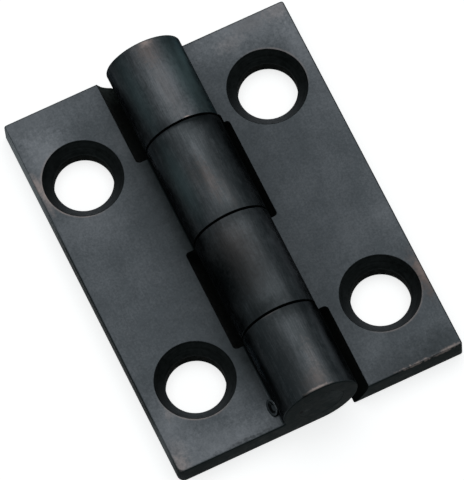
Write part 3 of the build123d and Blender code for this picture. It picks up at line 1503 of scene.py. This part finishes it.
@dataclass(frozen=True)
class PaleFloor:
    """The matt floor: white to the eye, and grey where the hinge shades it.

    Attributes:
        title: Name of the material.
        lit: Its matt colour.
        glow: How far it is lifted to white for the eye and in reflections.
        near: Distance from the hinge up to which reflections see the whole glow, in millimetres.
        far: Distance from which they see the far share, in millimetres.
        far_share: Share of the glow that reflections see far off.
    """

    title: str = "pale floor"
    lit: Colour = (0.55, 0.55, 0.55)
    glow: float = 0.74
    near: float = 10.0
    far: float = 28.0
    far_share: float = 0.0

    def material(self) -> bpy.types.Material:
        """Builds the material.

        Returns:
            The new material.
        """
        made, b = blank_material(self.title)
        rays = b.put("ShaderNodeLightPath").outputs
        away = b.moved("LENGTH", b.put("ShaderNodeTexCoord").outputs["Object"], output=1)
        near = b.ramp(away, (self.near * MM, self.far * MM), (1.0, self.far_share))
        bounced = b.either(rays["Is Glossy Ray"], rays["Is Transmission Ray"])
        mirrored = b.product(bounced, near)
        seen = b.either(rays["Is Camera Ray"], mirrored)
        lost = b.product(bounced, b.rest(near))
        matt = b.put("ShaderNodeBsdfDiffuse", {"Color": b.blend(lost, self.lit, (0.0, 0.0, 0.0))})
        shine = b.put("ShaderNodeEmission", {"Color": (1, 1, 1), "Strength": b.product(seen, self.glow)})
        both = b.put("ShaderNodeAddShader", {0: matt.outputs[0], 1: shine.outputs[0]})
        b.put("ShaderNodeOutputMaterial", {"Surface": both.outputs[0]})
        return made


@dataclass
class SoftLamp:
    """One soft rectangular lamp.

    Attributes:
        title: Name of the lamp.
        azimuth: Compass angle it stands at, 0 along +Y and 90 along +X, in degrees.
        elevation: Its height above the horizon, in degrees.
        distance: How far it is from the hinge, in metres.
        size: Width and height, in metres.
        level: Brightness of its face, where 1 is white.
    """

    title: str
    azimuth: float
    elevation: float
    distance: float
    size: tuple[float, float]
    level: float

    def build(self) -> None:
        """Hangs the lamp, facing the hinge."""
        a, e = radians(self.azimuth), radians(self.elevation)
        away = Vector((sin(a) * cos(e), cos(a) * cos(e), sin(e)))
        light = bpy.data.lights.new(self.title, "AREA")
        light.shape = "RECTANGLE"
        light.size, light.size_y = self.size
        light.energy = self.level * self.size[0] * self.size[1] * pi
        lamp = hang(self.title, light)
        lamp.location = away * self.distance
        lamp.rotation_mode = "QUATERNION"
        lamp.rotation_quaternion = away.to_track_quat("Z", "Y")


@dataclass
class Studio:
    """Floor, lamps and surroundings."""

    floor_half_side: float = 3.0
    surroundings: Colour = (0.150, 0.181, 0.188)
    floor: PaleFloor = PaleFloor()
    lamps: tuple[SoftLamp, ...] = (
        SoftLamp("overhead softbox", 32.0, 66.0, 0.60, (0.85, 0.55), 0.98),
        SoftLamp("wide silk", 0.0, 88.0, 1.00, (2.40, 2.40), 0.22),
    )

    def build(self) -> None:
        """Lays the floor, hangs the lamps and sets the plain surroundings."""
        half = self.floor_half_side
        mesh = bpy.data.meshes.new("floor")
        corners = [(-half, -half, 0), (half, -half, 0), (half, half, 0), (-half, half, 0)]
        mesh.from_pydata(corners, [], [(0, 1, 2, 3)])
        mesh.materials.append(self.floor.material())
        ground = hang("floor", mesh)
        for lamp in self.lamps:
            lamp.build()
        world = bpy.data.worlds.new("plain room")
        world.use_nodes = True
        world.node_tree.nodes["Background"].inputs["Color"].default_value = (*self.surroundings, 1.0)
        bpy.context.scene.world = world
        bpy.context.scene.view_settings.view_transform = "Standard"


@dataclass
class ViewPoint:
    """Where the hinge is looked at from: a long lens, steeply from above.

    Attributes:
        aim: The point at the middle of the picture, in millimetres.
        azimuth: Turn of the look from +Y towards +X, in degrees.
        elevation: Height of the camera above the horizon, in degrees.
        roll: Tilt of the camera about its look, in degrees.
        distance: From the aim to the camera, in millimetres.
        lens: Focal length, in millimetres.
        film: Long side of the picture that the lens is named for, in millimetres.
        depth: Nearest and farthest distance seen, in metres.
    """

    aim: Place = (0.0872, 0.2682, 0.0)
    azimuth: float = 19.789
    elevation: float = 67.923
    roll: float = -6.049
    distance: float = 490.33
    lens: float = 600.0
    film: float = 36.0
    depth: tuple[float, float] = (0.01, 10.0)

    def build(self) -> None:
        """Sets up the camera and makes it the scene's."""
        a, e, r = radians(self.azimuth), radians(self.elevation), radians(self.roll)
        look = Vector((sin(a) * cos(e), cos(a) * cos(e), -sin(e)))
        level = look.cross(Vector((0, 0, 1))).normalized()
        straight = level.cross(look)
        up = straight * cos(r) - level * sin(r)
        right = look.cross(up)
        lens = bpy.data.cameras.new("camera")
        lens.lens, lens.sensor_width, lens.sensor_fit = self.lens, self.film, "AUTO"
        lens.clip_start, lens.clip_end = self.depth
        camera = hang("camera", lens)
        spot = (Vector(self.aim) - look * self.distance) * MM
        turn = Matrix((right, up, -look)).transposed().to_4x4()
        camera.matrix_world = Matrix.Translation(spot) @ turn
        bpy.context.scene.camera = camera


LEFT_FINISHES = LeafFinishes(
    drawn=RubbedBronze(
        "leaf bronze left",
        # Painted light: lighter plate corners and ends, lifted knuckle highlights and flanks.
        pale_patches=(
            Patch((-7.6, 12.4, 1.5), (5.2, 2.4, 6.0), 0.36),
            Patch((-8.0, 9.9, 1.5), (2.2, 2.2, 6.0), 0.72),
            Patch((-3.5, 8.2, 1.5), (0.9, 1.7, 1.5), 0.35),
            Patch((-6.8, 4.6, 1.5), (3.6, 2.2, 6.0), 0.25),
            Patch((-6.5, -12.4, 1.5), (6.5, 2.4, 6.0), 0.56),
            Patch((-8.9, -9.8, 1.5), (2.2, 3.2, 6.0), 0.42),
            Patch((-4.6, -10.0, 1.5), (1.6, 1.6, 1.5), 0.22),
            Patch((-0.1, 3.5, 5.0), (0.5, 4.0, 1.0), 0.10, 0.3),
            Patch((0.2, -12.0, 5.0), (1.6, 3.0, 3.0), 0.10, 0.3),
            Patch((1.75, -9.8, 4.25), (0.6, 4.4, 0.7), 0.70),
        ),
        # Painted shade: darker plate areas, knuckle tops and flanks, and shadows at the joints.
        thick_patches=(
            Patch((-3.4, -2.8, 1.5), (1.6, 3.4, 1.5), 0.36),
            Patch((-8.6, -2.7, 1.5), (2.0, 2.6, 1.5), 0.13),
            Patch((2.2, 3.9, 3.6), (0.9, 4.2, 1.3), 0.75, 0.1),
            Patch((0.8, 3.4, 4.9), (0.6, 3.9, 1.0), 0.45, 0.1),
            Patch((-0.55, 3.4, 4.95), (0.5, 3.9, 1.0), 0.42, 0.1),
            Patch((2.2, -9.8, 3.5), (0.8, 4.5, 1.2), 0.95, 0.1),
            Patch((-0.7, -9.8, 4.9), (1.0, 4.4, 1.5), 0.55, 0.1),
            Patch((-2.3, -9.8, 3.5), (0.45, 4.4, 0.75), 0.90, 0.1),
            Patch((-2.4, -6.9, 2.4), (0.8, 2.5, 1.2), 0.3, 0.1),
            Patch((-0.95, -12.62, 4.78), (0.45, 0.12, 0.3), 0.9),
            Patch((-4.6, -12.52, 1.65), (3.0, 0.22, 0.4), 0.6, 0.8),
            Patch((0.9, 6.75, 4.9), (1.9, 1.1, 1.6), 0.98, 0.1),
            Patch((-0.3, 6.8, 4.7), (2.6, 0.3, 1.6), 0.95, 0.1),
            Patch((0.1, 0.1, 4.9), (1.8, 1.0, 1.2), 0.50, 0.1),
            Patch((0.4, -7.0, 4.9), (2.0, 1.3, 1.6), 0.80, 0.1),
            Patch((-2.2, -7.3, 3.7), (0.7, 1.0, 0.9), 0.50, 0.1),
            Patch((2.35, -7.1, 3.3), (0.7, 0.8, 0.9), 0.95, 0.1),
        ),
        # Painted teal light on a knuckle's left flank.
        greened_patches=(
            Patch((-1.7, 3.4, 4.3), (0.9, 3.9, 1.3), 0.42, 0.1),
        ),
        warmed_patches=(
            Patch((-0.15, 2.6, 5.0), (0.6, 2.4, 1.0), 0.42, 0.4),
            Patch((0.0, -12.1, 5.0), (1.3, 1.2, 0.8), 0.32, 0.3),
        ),
        # Copper wear at edges and rims; the thin line at y -6.97 is a painted highlight on the end
        # knuckle's rim.
        copper_patches=(
            Patch((-9.30, 8.1, 1.5), (0.42, 1.3, 1.0), 0.46, 0.3),
            Patch((-9.25, 6.9, 1.5), (0.34, 1.4, 1.0), 0.30, 0.3),
            Patch((-9.3, -12.3, 1.5), (0.9, 1.0, 1.5), 0.34, 0.3),
            Patch((-9.0, -11.4, 1.5), (0.9, 1.3, 1.0), 0.12, 0.3),
            Patch((-8.5, -9.0, 1.5), (0.35, 0.7, 1.0), 0.14, 0.6),
            Patch((-1.0, 3.3, 4.8), (0.5, 1.6, 1.0), 0.05, 0.6),
            Patch((0.5, 1.5, 4.95), (0.45, 1.8, 0.8), 0.05, 0.6),
            Patch((-0.05, -12.58, 4.95), (1.5, 0.15, 0.7), 0.60, 0.4),
            Patch((0.35, -11.7, 4.95), (0.7, 1.4, 0.6), 0.10, 0.3),
            Patch((-0.7, -6.97, 4.85), (0.95, 0.07, 0.6), 0.16, 0.3),
            Patch((0.5, -10.3, 4.95), (0.5, 1.4, 0.6), 0.08, 0.8),
        ),
        # Copper wear and painted highlights on the lips of the screw holes.
        lips=(
            Lip(LEFT_HOLES[1], (-0.45, -0.89), 0.40),
            Lip(LEFT_HOLES[0], (-0.97, 0.23), 0.36, 0.16),
            Lip(LEFT_HOLES[0], (-0.75, -0.66), 0.40, 0.10),
        ),
        # Painted shade on the plate beside the knuckles.
        gathered=0.72,
        gather_fade=2.0,
    ),
    sawn=SawnBronze(
        "sawn bronze left",
        # Painted light on the leaf's outer side face.
        bright_patches=(
            Patch((-9.5, 10.5, 0.8), (3.0, 8.5, 3.0), 1.0, 0.15),
            Patch((-9.6, -10.4, 0.8), (0.5, 2.4, 3.0), 0.5, 0.15),
        ),
        pits=(Patch((-0.95, -12.7, 4.72), (0.45, 0.3, 0.12), 0.9),),
    ),
    sunk=SunkBronze("sunk bronze left", holes=LEFT_HOLES),
    milled=ShadedMilledBronze(
        "milled bronze left",
        # Painted light in the slot near its open end.
        dusty_patches=(
            Patch((-3.0, 12.4, 1.0), (1.3, 1.8, 2.2), 1.0, 0.3),
            Patch((-2.8, 8.5, 0.7), (1.4, 2.8, 1.6), 0.16, 0.3),
        ),
    ),
)
RIGHT_FINISHES = LeafFinishes(
    drawn=RubbedBronze(
        "leaf bronze right",
        # Painted light: lighter plate corners and ends, lifted knuckle highlights and flanks.
        pale_patches=(
            Patch((6.8, 12.6, 1.5), (5.2, 2.8, 6.0), 0.74),
            Patch((3.8, 11.8, 1.5), (1.6, 1.8, 1.5), 0.26),
            Patch((9.2, 9.8, 1.5), (1.3, 3.2, 6.0), 0.50),
            Patch((9.6, 6.0, 1.5), (1.6, 7.0, 6.0), 0.16),
            Patch((9.2, -2.7, 1.5), (1.6, 3.6, 6.0), 0.22),
            Patch((7.2, -3.4, 1.5), (2.6, 2.6, 6.0), 0.08),
            Patch((4.6, -10.0, 1.5), (1.6, 1.5, 1.5), 0.20),
            Patch((0.3, 9.5, 5.0), (2.6, 5.0, 3.0), 0.36, 0.3),
            Patch((0.95, 7.4, 4.8), (0.7, 1.2, 0.7), 0.26, 0.3),
            Patch((1.95, -3.4, 4.0), (1.1, 3.9, 1.8), 0.60),
        ),
        # Painted shade: darker plate areas, knuckle tops and flanks, and shadows at the joints.
        thick_patches=(
            Patch((5.5, 0.9, 1.5), (3.6, 1.9, 1.5), 0.16),
            Patch((9.0, -8.4, 1.5), (1.1, 2.8, 1.5), 0.16),
            Patch((5.6, -12.4, 1.5), (5.2, 2.2, 4.0), 0.46),
            Patch((8.4, -12.0, 1.5), (2.0, 2.2, 3.0), 0.25),
            Patch((-0.7, -3.4, 5.0), (2.6, 3.9, 3.0), 0.72, 0.1),
            Patch((-2.2, -3.4, 3.6), (1.4, 3.9, 1.9), 0.85, 0.1),
            Patch((-1.0, 7.0, 4.75), (0.9, 0.9, 0.8), 0.50, 0.1),
            Patch((0.1, -0.2, 4.9), (2.2, 1.1, 1.6), 0.60, 0.1),
            Patch((-2.2, -0.3, 3.7), (0.8, 1.2, 1.0), 0.80, 0.1),
            Patch((-0.4, -6.6, 4.8), (2.3, 1.1, 1.8), 0.66, 0.1),
            Patch((-2.2, -6.4, 3.7), (0.8, 1.2, 1.0), 0.75, 0.1),
        ),
        # Painted teal light on the top knuckle's flanks.
        greened_patches=(
            Patch((2.0, 9.8, 4.2), (1.6, 5.2, 2.2), 0.90, 0.1),
            Patch((-1.7, 9.8, 4.3), (0.9, 4.6, 1.3), 0.40, 0.1),
        ),
        warmed_patches=(
            Patch((0.1, 12.0, 5.0), (1.2, 1.5, 0.8), 0.45, 0.3),
            Patch((0.1, 9.5, 5.0), (0.8, 4.0, 0.8), 0.20, 0.4),
            Patch((-1.0, -2.6, 4.7), (2.2, 3.8, 2.2), 0.46),
            Patch((9.35, -7.6, 1.5), (0.9, 2.2, 1.0), 0.90, 0.3),
            Patch((7.0, 12.2, 1.5), (2.0, 1.0, 1.5), 0.20),
        ),
        # Copper wear at edges and rims; the fleck at y 6.96 is a painted highlight on the top knuckle's
        # lower rim.
        copper_patches=(
            Patch((9.35, -7.2, 1.5), (0.3, 1.5, 1.0), 0.20, 0.4),
            Patch((5.3, 11.5, 1.5), (1.3, 0.8, 1.0), 0.10, 0.4),
            Patch((8.9, 12.3, 1.5), (1.3, 1.0, 1.0), 0.18, 0.4),
            Patch((0.25, 12.5, 5.0), (0.6, 0.45, 0.6), 0.50),
            Patch((8.7, -12.58, 1.65), (1.3, 0.16, 0.3), 0.5, 0.5),
            Patch((6.6, -12.60, 1.65), (1.5, 0.10, 0.3), 0.5, 0.8),
            Patch((0.4, 6.96, 4.9), (0.35, 0.07, 0.4), 0.8, 0.3),
        ),
        # Copper wear and painted highlights on the lips of the screw holes.
        lips=(
            Lip(RIGHT_HOLES[1], (0.77, 0.64), 0.26, 0.14),
            Lip(RIGHT_HOLES[0], (0.34, -0.94), 0.34, 0.12),
        ),
        # Painted shade on the plate beside the knuckles.
        gathered=0.42,
        gather_fade=4.5,
    ),
    sawn=SawnBronze(
        "sawn bronze right",
        bright=(0.22, 0.18, 0.17),
        bright_patches=(
            Patch((8.2, -12.66, 1.62), (1.2, 0.12, 0.16), 1.0, 0.5),
            Patch((6.5, -12.66, 1.62), (1.4, 0.12, 0.10), 1.0, 0.8),
        ),
    ),
    sunk=SunkBronze("sunk bronze right", holes=RIGHT_HOLES),
    milled=ShadedMilledBronze("milled bronze right"),
)
PIN_FINISH = SawnBronze(
    "pin bronze",
    pits=(Patch((-1.32, -12.7, 2.54), (0.20, 0.3, 0.30), 1.0),),
    # A painted highlight beside the pit, and a lighter right part of the pin's end.
    bright_patches=(
        Patch((-1.0, -12.7, 2.45), (0.25, 0.3, 0.30), 0.06, 0.3),
        Patch((1.2, -12.7, 3.0), (1.2, 0.3, 1.4), 0.05, 0.3),
    ),
)


def main() -> None:
    """Builds camera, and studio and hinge."""
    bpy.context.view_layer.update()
    ViewPoint().build()
    Studio().build()
    effects = Effects()
    shop = Workshop.opened()
    pieces = (
        Leaf(Hand.LEFT, "left_leaf", "fixed_half", LEFT_FINISHES, LEFT_HOLES, bore_radius=1.5,
             knuckle_end_corner=0.45, mark=PunchMark()),
        Leaf(Hand.RIGHT, "right_leaf", "turning_half", RIGHT_FINISHES, RIGHT_HOLES, bore_radius=1.53,
             knuckle_end_corner=0.18, notch=Notch()),
        Pin(PIN_FINISH),
    )
    for piece in pieces:
        made = piece.build(shop, effects)
        log.info("%s made: %d faces, rides on %s", made.name, len(made.data.polygons), piece.body)


if __name__ == "__main__":
    main()
